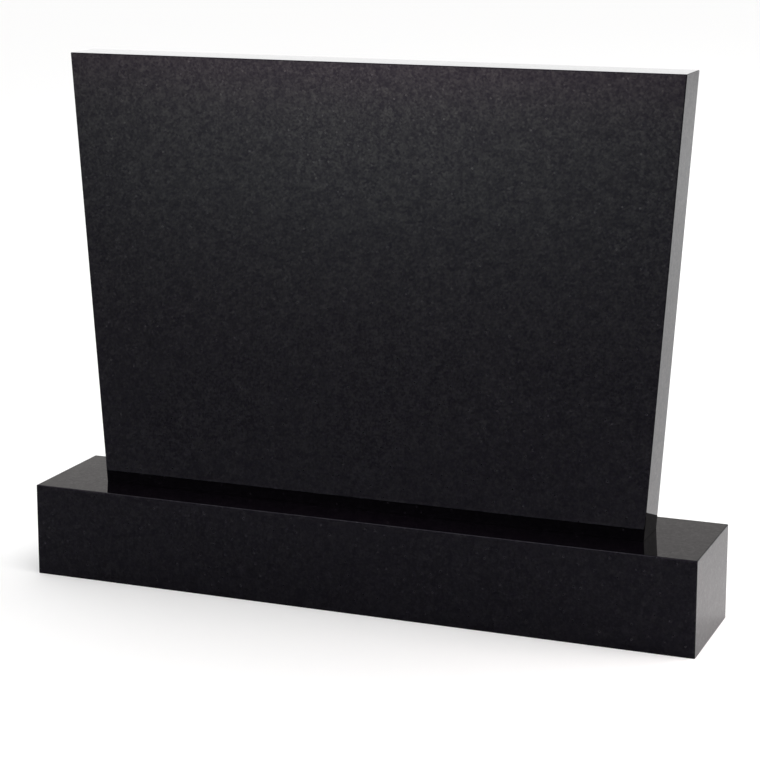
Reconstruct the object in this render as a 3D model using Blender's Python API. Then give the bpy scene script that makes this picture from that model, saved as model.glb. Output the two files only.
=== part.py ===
"""Headstone: a polished granite slab, wider at its top than at its foot, on a rectangular plinth.

Metres, +Z up. The origin is on the ground under the middle of the plinth, and the face of
the stone looks towards -Y.
"""
import bmesh
import bpy
from mathutils import Vector

# Plinth: the block that lies on the ground
PLINTH_LENGTH = 1.10
PLINTH_DEPTH = 0.20
PLINTH_HEIGHT = 0.15

# Slab: the upright stone, a symmetrical trapezium of one thickness
SLAB_FOOT_WIDTH = 0.905
SLAB_TOP_WIDTH = 1.00
SLAB_HEIGHT = 0.70
SLAB_THICKNESS = 0.075

# Clearance of the bed joint between the plinth's top and the slab's foot
BED_JOINT = 0.0003

# Eased edges, which the mason rubs round on each stone wherever a hand could touch one
PLINTH_ARRIS_RADIUS = 0.002
SLAB_ARRIS_RADIUS = 0.0015
ARRIS_STEPS = 3

# Finish of the polished stone
GRANITE_COLOUR = (0.006, 0.0057, 0.0068, 1.0)
POLISHED_ROUGHNESS = 0.05


def clear_scene():
    """Remove every object that is already in the scene."""
    for old in list(bpy.data.objects):
        bpy.data.objects.remove(old, do_unlink=True)


def polished_granite(name):
    """A near-black polished stone of its own for one piece."""
    material = bpy.data.materials.new(name)
    material.use_nodes = True
    shader = material.node_tree.nodes["Principled BSDF"]
    shader.inputs["Base Color"].default_value = GRANITE_COLOUR
    shader.inputs["Roughness"].default_value = POLISHED_ROUGHNESS
    shader.inputs["Metallic"].default_value = 0.0
    material.diffuse_color = GRANITE_COLOUR
    return material


def tapered_block(bm, foot_width, top_width, depth, height):
    """A block that stands on z = 0 about the origin, with one width below and one above."""
    corners = []
    for width, z in ((foot_width, 0.0), (top_width, height)):
        for side_x, side_y in ((-1, -1), (1, -1), (1, 1), (-1, 1)):
            corners.append(bm.verts.new((side_x * width / 2, side_y * depth / 2, z)))
    bottom = corners[:4]
    top = corners[4:]
    bm.faces.new(bottom)
    bm.faces.new(top)
    for i in range(4):
        j = (i + 1) % 4
        bm.faces.new((bottom[i], bottom[j], top[j], top[i]))
    bmesh.ops.recalc_face_normals(bm, faces=bm.faces)


def ease_arrises(bm, radius):
    """Round every edge but those of the underside, which stays sawn and square."""
    touched = [edge for edge in bm.edges if max(vert.co.z for vert in edge.verts) > radius]
    bmesh.ops.bevel(
        bm,
        geom=touched,
        offset=radius,
        segments=ARRIS_STEPS,
        profile=0.5,
        affect="EDGES",
    )


def stone(name, foot_width, top_width, depth, height, arris_radius, place):
    """One stone, standing at its place, with a material of its own."""
    bm = bmesh.new()
    tapered_block(bm, foot_width, top_width, depth, height)
    ease_arrises(bm, arris_radius)
    mesh = bpy.data.meshes.new(name)
    bm.to_mesh(mesh)
    bm.free()
    mesh.materials.append(polished_granite(name + "_granite"))
    piece = bpy.data.objects.new(name, mesh)
    piece.location = place
    bpy.context.scene.collection.objects.link(piece)
    return piece


def make_plinth():
    """The plinth, straight-sided, with its underside on the ground."""
    return stone(
        "plinth",
        PLINTH_LENGTH,
        PLINTH_LENGTH,
        PLINTH_DEPTH,
        PLINTH_HEIGHT,
        PLINTH_ARRIS_RADIUS,
        Vector((0.0, 0.0, 0.0)),
    )


def make_slab():
    """The slab, centred on the plinth's top."""
    return stone(
        "slab",
        SLAB_FOOT_WIDTH,
        SLAB_TOP_WIDTH,
        SLAB_THICKNESS,
        SLAB_HEIGHT,
        SLAB_ARRIS_RADIUS,
        Vector((0.0, 0.0, PLINTH_HEIGHT + BED_JOINT)),
    )


clear_scene()
make_plinth()
make_slab()
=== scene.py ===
# %% [markdown]
# A polished headstone, in two stones. The upright slab is wider at its top than at its
# foot, and it stands on the middle of a long plinth. Both are a near-black granite that
# is polished like a mirror, so most of what the eye sees on them is reflected light.
# This lesson loads the two plain solids first and takes every size of the finished stones
# from them, because each finished stone has to sit exactly where its solid does.

# %% Load the two solids
import math

import bmesh
import bpy
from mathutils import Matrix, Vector


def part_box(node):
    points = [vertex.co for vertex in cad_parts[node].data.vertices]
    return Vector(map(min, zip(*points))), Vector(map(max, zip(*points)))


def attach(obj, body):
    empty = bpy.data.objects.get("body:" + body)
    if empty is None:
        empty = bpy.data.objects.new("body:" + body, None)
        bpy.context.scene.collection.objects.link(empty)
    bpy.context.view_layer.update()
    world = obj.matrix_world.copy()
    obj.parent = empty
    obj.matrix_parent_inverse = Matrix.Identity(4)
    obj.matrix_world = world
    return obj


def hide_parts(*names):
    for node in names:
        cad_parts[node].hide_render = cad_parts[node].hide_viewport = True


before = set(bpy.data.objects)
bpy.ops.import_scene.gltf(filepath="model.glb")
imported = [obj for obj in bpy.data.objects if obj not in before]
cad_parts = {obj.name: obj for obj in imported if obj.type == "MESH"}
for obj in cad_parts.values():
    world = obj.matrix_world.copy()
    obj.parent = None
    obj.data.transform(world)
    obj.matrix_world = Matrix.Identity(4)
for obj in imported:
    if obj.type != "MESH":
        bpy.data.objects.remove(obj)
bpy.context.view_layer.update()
PLINTH_LOW, PLINTH_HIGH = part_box("plinth")
SLAB_LOW, SLAB_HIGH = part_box("slab")
print("plinth from", PLINTH_LOW, "to", PLINTH_HIGH)
print("slab from", SLAB_LOW, "to", SLAB_HIGH)

# %% [markdown]
# The slab's sides lean outwards, so its box says how wide it is at its widest and not how
# wide it is at the foot. The lean could be typed in as a number. Reading it from the
# solid's own side is safer, because then the finished slab follows if the solid changes.
# The solid's edges are rounded, so the side is drawn on to the very top to find the
# width that the mason marked out before rounding them.


# %% Measure the slab's taper
def half_width_near(solid, height, reach):
    """The largest x of a solid's corners that lie within reach of a height."""
    return max(corner.co.x for corner in solid.data.vertices if abs(corner.co.z - height) < reach)


ARRIS_ZONE = 0.004  # taller than any rounded edge on the solids
slab_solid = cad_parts["slab"]
side_foot_half = half_width_near(slab_solid, SLAB_LOW.z, ARRIS_ZONE)
side_corners = [v.co for v in slab_solid.data.vertices if v.co.x > side_foot_half]
top_corner = max(side_corners, key=lambda co: co.x)
lean = (top_corner.x - side_foot_half) / (top_corner.z - SLAB_LOW.z)
slab_height = SLAB_HIGH.z - SLAB_LOW.z
SLAB_FOOT_WIDTH = 2 * side_foot_half
SLAB_TOP_WIDTH = 2 * (side_foot_half + lean * slab_height)
print("slab foot", round(SLAB_FOOT_WIDTH, 4), "top", round(SLAB_TOP_WIDTH, 4))

# %% [markdown]
# Both stones begin as a sawn block of the right length, depth and height. A cube is added
# at that size and place, and its scale is applied straight away, so that later widths are
# in real metres. Everything is deselected first, because the loaded solids are still
# selected and an operator would act on them too.


# %% Saw a block
def deselect_everything():
    """Leave edit mode and deselect every object."""
    if bpy.context.mode != "OBJECT":
        bpy.ops.object.mode_set(mode="OBJECT")
    bpy.ops.object.select_all(action="DESELECT")


def foot_middle(low, high):
    """The middle of a box's underside."""
    return ((low.x + high.x) / 2, (low.y + high.y) / 2, low.z)


def sawn_block(name, length, depth, height, middle_foot):
    """A block of that size standing on a point, with its place kept in its mesh."""
    deselect_everything()
    centre = Vector(middle_foot) + Vector((0, 0, height / 2))
    bpy.ops.mesh.primitive_cube_add(size=1, location=centre, scale=(length, depth, height))
    block = bpy.context.active_object
    block.name = name
    block.data.name = name
    bpy.ops.object.transform_apply(location=True, rotation=True, scale=True)
    print(name, "block", tuple(round(side, 4) for side in block.dimensions))
    return block


slab = sawn_block(
    "slab_polished",
    SLAB_FOOT_WIDTH,
    SLAB_HIGH.y - SLAB_LOW.y,
    slab_height,
    foot_middle(SLAB_LOW, SLAB_HIGH),
)
plinth = sawn_block(
    "plinth_polished",
    PLINTH_HIGH.x - PLINTH_LOW.x,
    PLINTH_HIGH.y - PLINTH_LOW.y,
    PLINTH_HIGH.z - PLINTH_LOW.z,
    foot_middle(PLINTH_LOW, PLINTH_HIGH),
)

# %% [markdown]
# The slab is cut to a trapezium. On a real one the two sides are sawn at a slant. Here the
# top face is widened about its own middle, which slants both sides by the same amount. By
# hand one would click on that face. In a script the choice is made by a test on each face
# or edge, such as "its normal points up".


# %% Widen the slab's top
def select_alone(stone):
    """Select one stone and nothing else."""
    deselect_everything()
    stone.select_set(True)
    bpy.context.view_layer.objects.active = stone


def work_on(stone):
    """Enter edit mode on one stone alone."""
    select_alone(stone)
    bpy.ops.object.mode_set(mode="EDIT")


def choose(kind, test):
    """In edit mode, select the faces or edges that pass a test, and return how many."""
    piece = bpy.context.edit_object
    mesh = bmesh.from_edit_mesh(piece.data)
    bpy.ops.mesh.select_mode(type="FACE" if kind == "faces" else "EDGE")
    bpy.ops.mesh.select_all(action="DESELECT")
    mesh.normal_update()
    chosen = [part for part in getattr(mesh, kind) if test(part)]
    for part in chosen:
        part.select_set(True)
    mesh.select_flush_mode()
    bmesh.update_edit_mesh(piece.data)
    return len(chosen)


LEVEL = 0.9  # a face lies level where its normal's z is past this, upwards or downwards
work_on(slab)
choose("faces", lambda face: face.normal.z > LEVEL)
bpy.ops.transform.resize(
    value=(SLAB_TOP_WIDTH / SLAB_FOOT_WIDTH, 1, 1),
    center_override=((SLAB_LOW.x + SLAB_HIGH.x) / 2, 0, SLAB_HIGH.z),
)
bpy.ops.object.mode_set(mode="OBJECT")
print("slab after the taper", tuple(round(side, 4) for side in slab.dimensions))

# %% [markdown]
# A sharp polished edge chips at the first knock, so the mason rubs each one round with a
# hand pad. That round is the arris. It is 2 mm at most, but it catches the light as a thin
# pale line, so it has to be real geometry. The edges round the underside stay square:
# they are never touched, and they sit tight on what is below.

# %% Ease the arrises
SLAB_ARRIS = 0.0015
PLINTH_ARRIS = 0.002
ARRIS_STEPS = 6


def ease_arrises(stone, radius):
    """Round every edge of a stone but those of its underside."""
    foot = min(corner.co.z for corner in stone.data.vertices)
    work_on(stone)
    count = choose("edges", lambda edge: max(v.co.z for v in edge.verts) > foot + radius)
    bpy.ops.mesh.bevel(offset=radius, segments=ARRIS_STEPS, profile=0.5, affect="EDGES")
    bpy.ops.object.mode_set(mode="OBJECT")
    print(stone.name, "has", count, "eased edges and", len(stone.data.polygons), "faces")


ease_arrises(slab, SLAB_ARRIS)
ease_arrises(plinth, PLINTH_ARRIS)

# %% [markdown]
# Polished stone is made of interlocking crystals. In this one they are a few millimetres
# across and nearly the same black, and they tell themselves apart by how well each takes
# the polish. A picture of a stone could be used, but a pattern worked out from position
# has no seams, no edge and no limit of sharpness. It is built as a web of small nodes, so
# a few helpers come first that add a node, or a step of arithmetic, in one line.


# %% Helpers for wiring nodes
def add_node(tree, kind, **settings):
    """A new node with its settings and plain input values."""
    node = tree.nodes.new(kind)
    for name, value in settings.items():
        if name in node.inputs:
            node.inputs[name].default_value = value
        else:
            setattr(node, name, value)
    return node


def calculate(tree, operation, first, second):
    """One step of arithmetic on two sockets or numbers."""
    node = add_node(tree, "ShaderNodeMath", operation=operation)
    for socket, value in zip(node.inputs, (first, second)):
        if isinstance(value, (int, float)):
            socket.default_value = value
        else:
            tree.links.new(value, socket)
    return node.outputs[0]


def weighted_sum(tree, first, second, first_share):
    """Two values added, the first by its share and the second by the rest."""
    return calculate(
        tree,
        "ADD",
        calculate(tree, "MULTIPLY", first, first_share),
        calculate(tree, "MULTIPLY", second, 1 - first_share),
    )


def stretch(tree, value, low, high, new_low, new_high):
    """A value moved from one range to another and held inside it."""
    node = add_node(tree, "ShaderNodeMapRange", clamp=True)
    node.inputs["From Min"].default_value = low
    node.inputs["From Max"].default_value = high
    node.inputs["To Min"].default_value = new_low
    node.inputs["To Max"].default_value = new_high
    tree.links.new(value, node.inputs["Value"])
    return node.outputs["Result"]


# %% [markdown]
# Every finish of the stone uses the same crystals, so the pattern is a node group that is
# built once. It takes a position in metres and gives four values: the tone of each
# crystal, the flecks, which are the few small pale crystals that stand out, a cloud of
# shade over a finger's width, and the pits, which are a height. Here the group gets its
# named sockets and is still empty inside.


# %% An empty group for the crystals
def new_group(name, inputs, outputs):
    """A node group with named inputs and outputs, each input given as (kind, value)."""
    group = bpy.data.node_groups.new(name, "ShaderNodeTree")
    for label, (kind, value) in inputs.items():
        socket = group.interface.new_socket(name=label, in_out="INPUT", socket_type=kind)
        if value is not None:
            socket.default_value = value
    for label in outputs:
        group.interface.new_socket(name=label, in_out="OUTPUT", socket_type="NodeSocketFloat")
    start = group.nodes.new("NodeGroupInput")
    end = group.nodes.new("NodeGroupOutput")
    return group, start.outputs, end.inputs


crystal_group, given, result = new_group(
    "granite_crystals",
    {
        "Position": ("NodeSocketVector", None),
        "Crystal Size": ("NodeSocketFloat", 0.0038),
        "Fleck Spacing": ("NodeSocketFloat", 0.009),
        "Fleck Share": ("NodeSocketFloat", 0.35),
    },
    ("Tone", "Flecks", "Cloud", "Pits"),
)
print("crystal group takes", [socket.name for socket in given if socket.name])

# %% [markdown]
# Tone comes from a Voronoi pattern whose cells are the crystals. Each cell has a random
# colour, and one channel of it serves as the crystal's shade from 0 to 1. Half of the tone
# is a fine noise instead, because under the polish no crystal is one flat shade.

# %% Tone of each crystal
NOISE_LOW = 0.3  # nearly all of a noise pattern lies between these two
NOISE_HIGH = 0.7
CRYSTAL_SHARE = 0.5


def crystal_texture(kind, scale, **settings):
    """A texture inside the crystal group, read at the given position."""
    texture = add_node(crystal_group, kind, **settings)
    crystal_group.links.new(given["Position"], texture.inputs["Vector"])
    if isinstance(scale, float):
        texture.inputs["Scale"].default_value = scale
    else:
        crystal_group.links.new(scale, texture.inputs["Scale"])
    return texture.outputs


def random_channels(cells):
    """Three random numbers for each cell of a Voronoi pattern."""
    channels = add_node(crystal_group, "ShaderNodeSeparateColor")
    crystal_group.links.new(cells["Color"], channels.inputs["Color"])
    return channels.outputs


per_metre = calculate(crystal_group, "DIVIDE", 1.0, given["Crystal Size"])
cells = crystal_texture("ShaderNodeTexVoronoi", per_metre, feature="F1", Randomness=1.0)
shade = random_channels(cells)["Red"]
fine = crystal_texture("ShaderNodeTexNoise", per_metre, Detail=2.0, Roughness=0.6)
fine_tone = stretch(crystal_group, fine["Fac"], NOISE_LOW, NOISE_HIGH, 0.0, 1.0)
tone = weighted_sum(crystal_group, shade, fine_tone, CRYSTAL_SHARE)
crystal_group.links.new(tone, result["Tone"])
print("tone is wired, with", len(crystal_group.nodes), "nodes so far")

# %% [markdown]
# Flecks come from a second, coarser Voronoi pattern. A random number decides which of its
# cells hold a fleck at all, and another how strong it is. The distance from the middle of
# the cell gives the fleck its small round body and soft rim.

# %% Flecks
FLECK_CORE = 0.08  # both as a share of the spacing between flecks
FLECK_RIM = 0.22
FLECK_FAINTEST = 0.3

fleck_scale = calculate(crystal_group, "DIVIDE", 1.0, given["Fleck Spacing"])
spots = crystal_texture("ShaderNodeTexVoronoi", fleck_scale, feature="F1", Randomness=1.0)
pick = random_channels(spots)
is_fleck = calculate(crystal_group, "LESS_THAN", pick["Green"], given["Fleck Share"])
fleck_body = stretch(crystal_group, spots["Distance"], FLECK_CORE, FLECK_RIM, 1.0, 0.0)
fleck_strength = stretch(crystal_group, pick["Blue"], 0.0, 1.0, FLECK_FAINTEST, 1.0)
shown = calculate(crystal_group, "MULTIPLY", is_fleck, fleck_body)
flecks = calculate(crystal_group, "MULTIPLY", shown, fleck_strength)
crystal_group.links.new(flecks, result["Flecks"])
print("flecks are wired, with", len(crystal_group.nodes), "nodes so far")

# %% [markdown]
# The cloud is a slower noise. The pits follow the seams, where crystals meet and the
# polish dips a very little: a Voronoi pattern that measures the distance to the nearest
# seam is low there and level everywhere else.

# %% Cloud and pits
CLOUD_SCALE = 70.0
SEAM_WIDTH = 0.12  # as a share of a crystal

drift = crystal_texture("ShaderNodeTexNoise", CLOUD_SCALE, Detail=3.0, Roughness=0.6)
cloud = stretch(crystal_group, drift["Fac"], NOISE_LOW, NOISE_HIGH, 0.0, 1.0)
crystal_group.links.new(cloud, result["Cloud"])
seams = crystal_texture(
    "ShaderNodeTexVoronoi", per_metre, feature="DISTANCE_TO_EDGE", Randomness=1.0
)
pits = stretch(crystal_group, seams["Distance"], 0.0, SEAM_WIDTH, 0.0, 1.0)
crystal_group.links.new(pits, result["Pits"])
print("crystal group done, with", len(crystal_group.nodes), "nodes")

# %% [markdown]
# A finish is a material with the crystals in it. It reads them at the stone's own
# coordinates, so the grain sits fast in the stone. Each stone gets its own place in the
# pattern, because two stones are never cut with the same crystals.

# %% Start a finish
SLAB_SHIFT = (0.31, 0.77, 0.12)
PLINTH_SHIFT = (2.4, 1.3, 0.9)


def new_finish(name, shift):
    """A material with its shader, and the crystals moved by a shift in metres."""
    finish = bpy.data.materials.new(name)
    finish.use_nodes = True
    tree = finish.node_tree
    spot = add_node(tree, "ShaderNodeTexCoord")
    move = add_node(tree, "ShaderNodeMapping", Location=shift)
    tree.links.new(spot.outputs["Object"], move.inputs["Vector"])
    grain = add_node(tree, "ShaderNodeGroup", node_tree=crystal_group)
    tree.links.new(move.outputs["Vector"], grain.inputs["Position"])
    print("finish", name, "with its crystals at", shift)
    return finish, tree, tree.nodes["Principled BSDF"], grain.outputs


def blend_colours(tree, share, first, second):
    """A mix of two colours, each a socket or plain."""
    mix = add_node(tree, "ShaderNodeMix", data_type="RGBA")
    tree.links.new(share, mix.inputs["Factor"])
    for socket, colour in ((mix.inputs[6], first), (mix.inputs[7], second)):
        if isinstance(colour, tuple):
            socket.default_value = colour
        else:
            tree.links.new(colour, socket)
    return mix.outputs[2]


# %% [markdown]
# Under a polish, crystals of one black still tell themselves apart, because each takes the
# polish in its own measure. A thin coat of varying weight stands for that, so the grain
# shows in the reflection and not as paint. The coat follows the tone of the crystals with
# some cloud mixed in, and the flecks carry the most of it.

# %% How each crystal takes the polish
TONE_SHARE = 0.75  # the rest of the coat's pattern is cloud
PATTERN_LOW = 0.15
PATTERN_HIGH = 0.85
COAT_LEAST = 0.03
COAT_MOST = 0.2
COAT_SKEW = 1.5  # above 1 makes the well-polished crystals few and the dull ones many
FLECK_COAT = 0.22


def coat_pattern(tree, grain):
    """How much coat each crystal carries."""
    pattern = weighted_sum(tree, grain["Tone"], grain["Cloud"], TONE_SHARE)
    share = stretch(tree, pattern, PATTERN_LOW, PATTERN_HIGH, 0.0, 1.0)
    few_bright = calculate(tree, "POWER", share, COAT_SKEW)
    coat = stretch(tree, few_bright, 0.0, 1.0, COAT_LEAST, COAT_MOST)
    fleck_coat = calculate(tree, "MULTIPLY", grain["Flecks"], FLECK_COAT)
    return calculate(tree, "ADD", coat, fleck_coat)


# %% [markdown]
# The polished finish. A mirror polish on dark stone is a clear surface over almost
# nothing: the body colour returns less than a thousandth of the light, and the surface
# reflects about a hundredth head-on and far more at a slant. The low index of refraction
# gives that steep rise, and a violet tint on the head-on part gives the black its cool
# cast. What is the same all over is set on the shader itself, and only what follows the
# crystals is wired in.

# %% Mirror-polished granite
BODY_DARK = (0.0003, 0.0002, 0.0004, 1.0)
BODY_PALE = (0.0009, 0.0007, 0.0012, 1.0)
FLECK_COLOUR = (0.0095, 0.0085, 0.0105, 1.0)
POLISH_INDEX = 1.15
POLISH_TINT = (0.72, 0.66, 1.0, 1.0)
COAT_INDEX = 1.5
COAT_ROUGH = 0.03
ROUGH_LEAST = 0.02
ROUGH_MOST = 0.07
PIT_DEPTH = 0.00003
PIT_STRENGTH = 0.04


def polished_granite(name, shift):
    """The mirror finish of the faces that show."""
    finish, tree, shader, grain = new_finish(name, shift)
    shader.inputs["IOR"].default_value = POLISH_INDEX
    shader.inputs["Specular Tint"].default_value = POLISH_TINT
    shader.inputs["Coat IOR"].default_value = COAT_INDEX
    shader.inputs["Coat Roughness"].default_value = COAT_ROUGH

    body = blend_colours(tree, grain["Tone"], BODY_DARK, BODY_PALE)
    colour = blend_colours(tree, grain["Flecks"], body, FLECK_COLOUR)
    tree.links.new(colour, shader.inputs["Base Color"])
    tree.links.new(coat_pattern(tree, grain), shader.inputs["Coat Weight"])
    rough = stretch(tree, grain["Tone"], 0.0, 1.0, ROUGH_LEAST, ROUGH_MOST)
    tree.links.new(rough, shader.inputs["Roughness"])
    dips = add_node(tree, "ShaderNodeBump", Strength=PIT_STRENGTH, Distance=PIT_DEPTH)
    tree.links.new(grain["Pits"], dips.inputs["Height"])
    tree.links.new(dips.outputs["Normal"], shader.inputs["Normal"])
    return finish


slab_polish = polished_granite("slab_granite_polished", SLAB_SHIFT)
plinth_polish = polished_granite("plinth_granite_polished", PLINTH_SHIFT)

# %% [markdown]
# The sawn finish. The undersides are left as the saw cut them: dull, much paler than the
# polish, with fine parallel scores across the stone. The scores are a wave pattern with
# some noise in it, which drives the height and a little of the shade.

# %% Sawn granite
SAWN_DARK = (0.045, 0.045, 0.05, 1.0)
SAWN_PALE = (0.1, 0.1, 0.105, 1.0)
SAWN_TONE_SHARE = 0.75  # the rest of the shade is scores
SAW_PITCH = 0.006
WAVES_AT_SCALE_ONE = 3  # a wave pattern at scale 1 repeats about this often in a metre
SCORE_DEPTH = 0.0004
SCORE_STRENGTH = 0.6
SAWN_ROUGH_LEAST = 0.7
SAWN_ROUGH_MOST = 0.9


def sawn_granite(name, shift):
    """The dull finish of the undersides."""
    finish, tree, shader, grain = new_finish(name, shift)
    scores = add_node(
        tree,
        "ShaderNodeTexWave",
        bands_direction="X",
        Scale=1 / (SAW_PITCH * WAVES_AT_SCALE_ONE),
        Distortion=1.5,
        Detail=3.0,
    )
    spot = add_node(tree, "ShaderNodeTexCoord")
    tree.links.new(spot.outputs["Object"], scores.inputs["Vector"])
    shade = weighted_sum(tree, grain["Tone"], scores.outputs["Fac"], SAWN_TONE_SHARE)
    tree.links.new(blend_colours(tree, shade, SAWN_DARK, SAWN_PALE), shader.inputs["Base Color"])
    marks = add_node(tree, "ShaderNodeBump", Strength=SCORE_STRENGTH, Distance=SCORE_DEPTH)
    tree.links.new(scores.outputs["Fac"], marks.inputs["Height"])
    tree.links.new(marks.outputs["Normal"], shader.inputs["Normal"])
    rough = stretch(tree, grain["Tone"], 0.0, 1.0, SAWN_ROUGH_LEAST, SAWN_ROUGH_MOST)
    tree.links.new(rough, shader.inputs["Roughness"])
    return finish


slab_sawn = sawn_granite("slab_granite_sawn", SLAB_SHIFT)
plinth_sawn = sawn_granite("plinth_granite_sawn", PLINTH_SHIFT)

# %% [markdown]
# Each stone takes the polish all over and the sawn finish on its underside alone. The
# shading is smooth on the rounded arrises and stays flat on the faces, so that the mirror
# has no false bulge: faces that meet at more than forty degrees keep a crisp edge between
# them, and weighted normals hold the big faces flat.

# %% Dress the stones
SMOOTH_BELOW = math.radians(40)


def dress(stone, polish, sawn):
    """Give a stone its two finishes and its shading."""
    select_alone(stone)
    stone.data.materials.clear()
    stone.data.materials.append(polish)
    stone.data.materials.append(sawn)
    under = 0
    for face in stone.data.polygons:
        if face.normal.z < -LEVEL:
            face.material_index = 1
            under += 1
    bpy.ops.object.shade_smooth_by_angle(angle=SMOOTH_BELOW)
    weigh = stone.modifiers.new("flat_faces", "WEIGHTED_NORMAL")
    weigh.keep_sharp = True
    bpy.ops.object.modifier_apply(modifier=weigh.name)
    print(stone.name, "dressed, with", under, "sawn face")


dress(slab, slab_polish, slab_sawn)
dress(plinth, plinth_polish, plinth_sawn)

# %% [markdown]
# Neither stone moves, so both ride on the one body, root. Each replaces its plain solid.

# %% Put the stones in place of the solids
for stone, node, slot in (
    (slab, "slab", "slab_granite"),
    (plinth, "plinth", "plinth_granite"),
):
    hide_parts(node)
    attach(stone, "root")
    print(stone.name, "stands for", node)

# %% [markdown]
# The floor is plain and pale and reaches far past the stone, because the polished faces
# mirror it. It has no gloss of its own.

# %% Floor
FLOOR_SIDE = 40.0
FLOOR_COLOUR = (0.9, 0.9, 0.9, 1.0)
deselect_everything()
bpy.ops.mesh.primitive_plane_add(size=FLOOR_SIDE, location=(0, 0, PLINTH_LOW.z))
floor = bpy.context.active_object
floor.name = "floor"
floor_paint = bpy.data.materials.new("floor_paint")
floor_paint.use_nodes = True
floor_shader = floor_paint.node_tree.nodes["Principled BSDF"]
floor_shader.inputs["Base Color"].default_value = FLOOR_COLOUR
floor_shader.inputs["Roughness"].default_value = 1.0
floor_shader.inputs["Specular IOR Level"].default_value = 0.0
floor.data.materials.append(floor_paint)
print("floor", FLOOR_SIDE, "m wide at", PLINTH_LOW.z)

# %% [markdown]
# The room is a white tent. What it shows a mirror matters more than what it sheds: the
# slab's narrow top mirrors the strip just above the horizon, which is the brightest, and
# the plinth's top mirrors the wall higher up. A ramp on the height of the direction of
# view sets each band.

# %% White tent
TENT_STRENGTH = 2.0
TENT_BANDS = (
    (0.0, (0.86, 0.86, 0.86)),
    (0.1, (0.84, 0.84, 0.84)),
    (0.28, (0.42, 0.405, 0.395)),
    (0.5, (0.52, 0.52, 0.52)),
    (1.0, (0.57, 0.57, 0.57)),
)


def set_stops(ramp, stops):
    """Give a colour ramp these stops, each a position and a colour."""
    while len(ramp.elements) > 1:
        ramp.elements.remove(ramp.elements[-1])
    for index, (place, colour) in enumerate(stops):
        stop = ramp.elements[0] if index == 0 else ramp.elements.new(place)
        stop.position = place
        stop.color = (*colour, 1.0)


tent = bpy.data.worlds.new("white_tent")
tent.use_nodes = True
bpy.context.scene.world = tent
tent_tree = tent.node_tree
direction = add_node(tent_tree, "ShaderNodeTexCoord")
axes = add_node(tent_tree, "ShaderNodeSeparateXYZ")
tent_tree.links.new(direction.outputs["Generated"], axes.inputs["Vector"])
bands = add_node(tent_tree, "ShaderNodeValToRGB")
bands.color_ramp.interpolation = "EASE"
set_stops(bands.color_ramp, TENT_BANDS)
tent_tree.links.new(axes.outputs["Z"], bands.inputs["Fac"])
tent_glow = tent_tree.nodes["Background"]
tent_tree.links.new(bands.outputs["Color"], tent_glow.inputs["Color"])
tent_glow.inputs["Strength"].default_value = TENT_STRENGTH
print("white tent with", len(TENT_BANDS), "bands")

# %% [markdown]
# A mirror needs something to show, and a lamp would show as a hard-edged patch. A large
# flat sheet can have a glow that changes from place to place, so it fades out where no
# outline should show in the polish. Each sheet lets the tent and the floor show through
# it and is not seen by the camera itself.


# %% A sheet that only sheds light
def glowing_sheet(name, centre, size, turn):
    """A flat sheet, with the tree, the colour and the strength of its glow."""
    deselect_everything()
    bpy.ops.mesh.primitive_plane_add(size=1, location=centre, rotation=turn)
    sheet = bpy.context.active_object
    sheet.name = name
    sheet.scale = (*size, 1)
    bpy.ops.object.transform_apply(location=True, rotation=True, scale=True)
    glow = bpy.data.materials.new(name + "_glow")
    glow.use_nodes = True
    tree = glow.node_tree
    tree.nodes.remove(tree.nodes["Principled BSDF"])
    light = add_node(tree, "ShaderNodeEmission")
    clear = add_node(tree, "ShaderNodeBsdfTransparent")
    both = add_node(tree, "ShaderNodeAddShader")
    tree.links.new(light.outputs[0], both.inputs[0])
    tree.links.new(clear.outputs[0], both.inputs[1])
    tree.links.new(both.outputs[0], tree.nodes["Material Output"].inputs["Surface"])
    sheet.data.materials.append(glow)
    sheet.visible_camera = False
    print(name, "of", size, "m at", centre)
    return sheet, tree, light.inputs["Color"], light.inputs["Strength"]


# %% [markdown]
# A light table lies on the floor in front and runs on past the camera. The slab's face is
# a mirror that leans nowhere, so from a camera above it each point of the face mirrors
# the floor ahead, and the higher the point the farther the floor. Light that grows with
# distance along the floor therefore comes back as the grey bloom that fades down the face.

# %% Light along the table
TABLE_REACH = 12.0  # how far in front of the stone it ends
TABLE_HALF_WIDTH = 9.0
TABLE_LIFT = 0.002
TABLE_STOPS = (
    (0.05, (0.0, 0.0, 0.0)),
    (0.12, (0.07, 0.07, 0.06)),
    (0.2, (0.16, 0.16, 0.14)),
    (0.32, (0.37, 0.4, 0.34)),
    (0.5, (0.66, 0.69, 0.58)),
    (0.6, (0.8, 0.77, 0.67)),
    (0.72, (1.0, 0.86, 0.81)),
    (0.84, (1.0, 0.86, 0.81)),
    (1.0, (0.0, 0.0, 0.0)),
)
table, table_tree, table_colour, table_strength = glowing_sheet(
    "light_table",
    centre=(0, -TABLE_REACH / 2, TABLE_LIFT),
    size=(2 * TABLE_HALF_WIDTH, TABLE_REACH),
    turn=(0, 0, 0),
)
table_spot = add_node(table_tree, "ShaderNodeTexCoord")
table_axes = add_node(table_tree, "ShaderNodeSeparateXYZ")
table_tree.links.new(table_spot.outputs["Object"], table_axes.inputs["Vector"])
ahead = calculate(table_tree, "DIVIDE", table_axes.outputs["Y"], -TABLE_REACH)
along = add_node(table_tree, "ShaderNodeValToRGB")
along.color_ramp.interpolation = "B_SPLINE"
set_stops(along.color_ramp, TABLE_STOPS)
table_tree.links.new(ahead, along.inputs["Fac"])
table_tree.links.new(along.outputs["Color"], table_colour)
print(table.name, "gets its colour from", len(TABLE_STOPS), "stops")

# %% [markdown]
# Across the table the light is brightest along one line and fades out to both sides. The
# camera looks at the face at a slant, so that line drifts sideways as it goes out, and the
# light spreads, because what the face mirrors spreads with distance.

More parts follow.
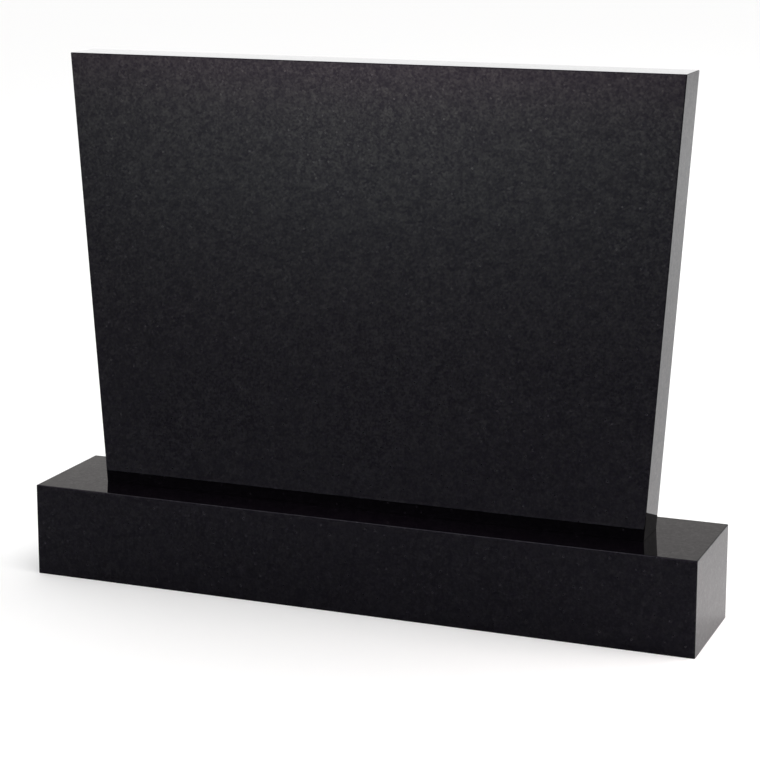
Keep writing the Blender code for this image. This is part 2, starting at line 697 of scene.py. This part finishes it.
# %% Light across the table
TABLE_DRIFT = 0.4  # sideways metres for each metre ahead, along the mirrored view
TABLE_FADE_NEAR = 1.3  # how far to each side its light reaches, close to the stone
TABLE_FADE_GROWTH = 0.3  # and how much farther with each metre ahead
TABLE_STRENGTH = 2.85
middle_line = calculate(table_tree, "MULTIPLY", table_axes.outputs["Y"], TABLE_DRIFT)
sideways = add_node(table_tree, "ShaderNodeMath", operation="ABSOLUTE")
table_tree.links.new(
    calculate(table_tree, "SUBTRACT", table_axes.outputs["X"], middle_line),
    sideways.inputs[0],
)
reach = calculate(
    table_tree,
    "ADD",
    calculate(table_tree, "MULTIPLY", ahead, TABLE_FADE_GROWTH * TABLE_REACH),
    TABLE_FADE_NEAR,
)
across = add_node(
    table_tree, "ShaderNodeMapRange", interpolation_type="SMOOTHSTEP", clamp=True
)
across.inputs["From Min"].default_value = 0.0
across.inputs["From Max"].default_value = 1.0
across.inputs["To Min"].default_value = TABLE_STRENGTH
across.inputs["To Max"].default_value = 0.0
table_tree.links.new(
    calculate(table_tree, "DIVIDE", sideways.outputs[0], reach), across.inputs["Value"]
)
table_tree.links.new(across.outputs["Result"], table_strength)
print(table.name, "is", TABLE_STRENGTH, "strong along its middle line")

# %% [markdown]
# Two more sheets are there for the mirror alone and light nothing else. One stands
# upright at the far end of the light table, and one hangs flat above the front. From the
# camera the flat faces never mirror either, but the arrises do, and they show them as a
# thin pale line. The plinth's top also shows the upright one, very faintly, in the mirror
# image of the slab's face. The sheet starts so high that the strip nearest the slab looks
# under it and stays black. Both sheets fade out away from one bright spot.

# %% Sheets that only the polish shows
UPRIGHT_X = -4.8
UPRIGHT_Y = -12.2
UPRIGHT_EDGE = 4.1  # height of the upright sheet's lower edge
UPRIGHT_HEIGHT = 2.6
HANGING_PLACE = (-1.2, -2.8, 3.6)


def mirror_sheet(name, centre, size, turn, bright_spot, fade_reach, strength, colour):
    """A sheet that fades away from one bright spot, seen in reflections only."""
    sheet, tree, sheet_colour, sheet_strength = glowing_sheet(name, centre, size, turn)
    sheet.visible_diffuse = False
    sheet_colour.default_value = colour
    spot = add_node(tree, "ShaderNodeTexCoord")
    fit = add_node(tree, "ShaderNodeMapping", vector_type="TEXTURE")
    fit.inputs["Location"].default_value = bright_spot
    fit.inputs["Scale"].default_value = fade_reach
    tree.links.new(spot.outputs["Object"], fit.inputs["Vector"])
    fade = add_node(tree, "ShaderNodeTexGradient", gradient_type="QUADRATIC_SPHERE")
    tree.links.new(fit.outputs["Vector"], fade.inputs["Vector"])
    tree.links.new(calculate(tree, "MULTIPLY", fade.outputs["Fac"], strength), sheet_strength)


mirror_sheet(
    "upright_sheet",
    centre=(UPRIGHT_X, UPRIGHT_Y, UPRIGHT_EDGE + UPRIGHT_HEIGHT / 2),
    size=(12.0, UPRIGHT_HEIGHT),
    turn=(math.pi / 2, 0, 0),
    bright_spot=(UPRIGHT_X, UPRIGHT_Y, UPRIGHT_EDGE),
    fade_reach=(9.0, 0.5, UPRIGHT_HEIGHT),
    strength=3.5,
    colour=(1.0, 0.65, 0.87, 1.0),
)
mirror_sheet(
    "hanging_sheet",
    centre=HANGING_PLACE,
    size=(12.0, 9.0),
    turn=(0, 0, 0),
    bright_spot=HANGING_PLACE,
    fade_reach=(6.0, 4.5, 0.5),
    strength=5.6,
    colour=(1.0, 1.0, 1.0, 1.0),
)

# %% [markdown]
# Soft lamps only lift the floor, since the stone itself gives back next to nothing but
# reflections, and none of the lamps shows in one. The one overhead and the wide one high
# behind bring the floor to white. The right-hand ends of both stones mirror the floor on
# their right, so a lamp with a faint blush there sets their grey. The last is small and
# close, and lights the corner where the plinth's end meets the floor, which would be
# darker without it.

# %% Soft lamps
WHITE = (1.0, 1.0, 1.0)
BLUSH = (1.0, 0.9, 0.89)


def soft_lamp(name, side, power, place, aim, colour):
    """A square area lamp at a place, turned towards a point, that only sheds light."""
    lamp = bpy.data.lights.new(name, "AREA")
    lamp.shape = "SQUARE"
    lamp.size = side
    lamp.energy = power
    lamp.color = colour
    holder = bpy.data.objects.new(name, lamp)
    holder.location = place
    towards = Vector(aim) - Vector(place)
    holder.rotation_euler = towards.to_track_quat("-Z", "Y").to_euler()
    holder.visible_camera = False
    holder.visible_glossy = False
    bpy.context.scene.collection.objects.link(holder)
    print(name, "of", power, "watts at", place)


soft_lamp(
    "overhead_softbox", side=1.6, power=9.0, place=(0, -0.2, 1.9), aim=(0, -0.2, 0), colour=WHITE
)
soft_lamp(
    "right_softbox",
    side=0.8,
    power=12.0,
    place=(1.9, 0.05, 0.85),
    aim=(0.65, 0.1, 0),
    colour=BLUSH,
)
soft_lamp(
    "back_softbox", side=3.0, power=74.0, place=(1.6, 4.4, 3.2), aim=(1.6, 4.4, 0), colour=WHITE
)
soft_lamp(
    "end_softbox", side=0.3, power=0.55, place=(0.7, 0.12, 0.34), aim=(0.58, 0.1, 0), colour=BLUSH
)

# %% [markdown]
# The camera stands to the right of the stone and a little above it, and sees the face,
# the right-hand ends and a sliver of both tops. The picture to match keeps its upright
# edges parallel, as a lens that is shifted downwards does. A small shift takes a share of
# that and still leaves the stone in the frame when the camera is moved round it. The
# Standard view shows colours as they are, without the look of film.

# %% Camera
CAMERA_PLACE = (1.268, -3.171, 1.155)
CAMERA_YAW = math.radians(21.58)
CAMERA_PITCH = math.radians(11.3)
CAMERA_SHIFT = -0.1
CAMERA_FOCUS_PIXELS = 2239
PICTURE_PIXELS = 760
SENSOR_WIDTH = 36.0
camera_data = bpy.data.cameras.new("camera")
camera_data.sensor_width = SENSOR_WIDTH
camera_data.lens = SENSOR_WIDTH * CAMERA_FOCUS_PIXELS / PICTURE_PIXELS
camera_data.shift_y = CAMERA_SHIFT
camera = bpy.data.objects.new("camera", camera_data)
camera.location = CAMERA_PLACE
camera.rotation_euler = (math.pi / 2 - CAMERA_PITCH, 0, CAMERA_YAW)
bpy.context.scene.collection.objects.link(camera)
bpy.context.scene.camera = camera
bpy.context.scene.view_settings.view_transform = "Standard"
print("camera at", CAMERA_PLACE, "with a lens of", round(camera_data.lens), "mm")
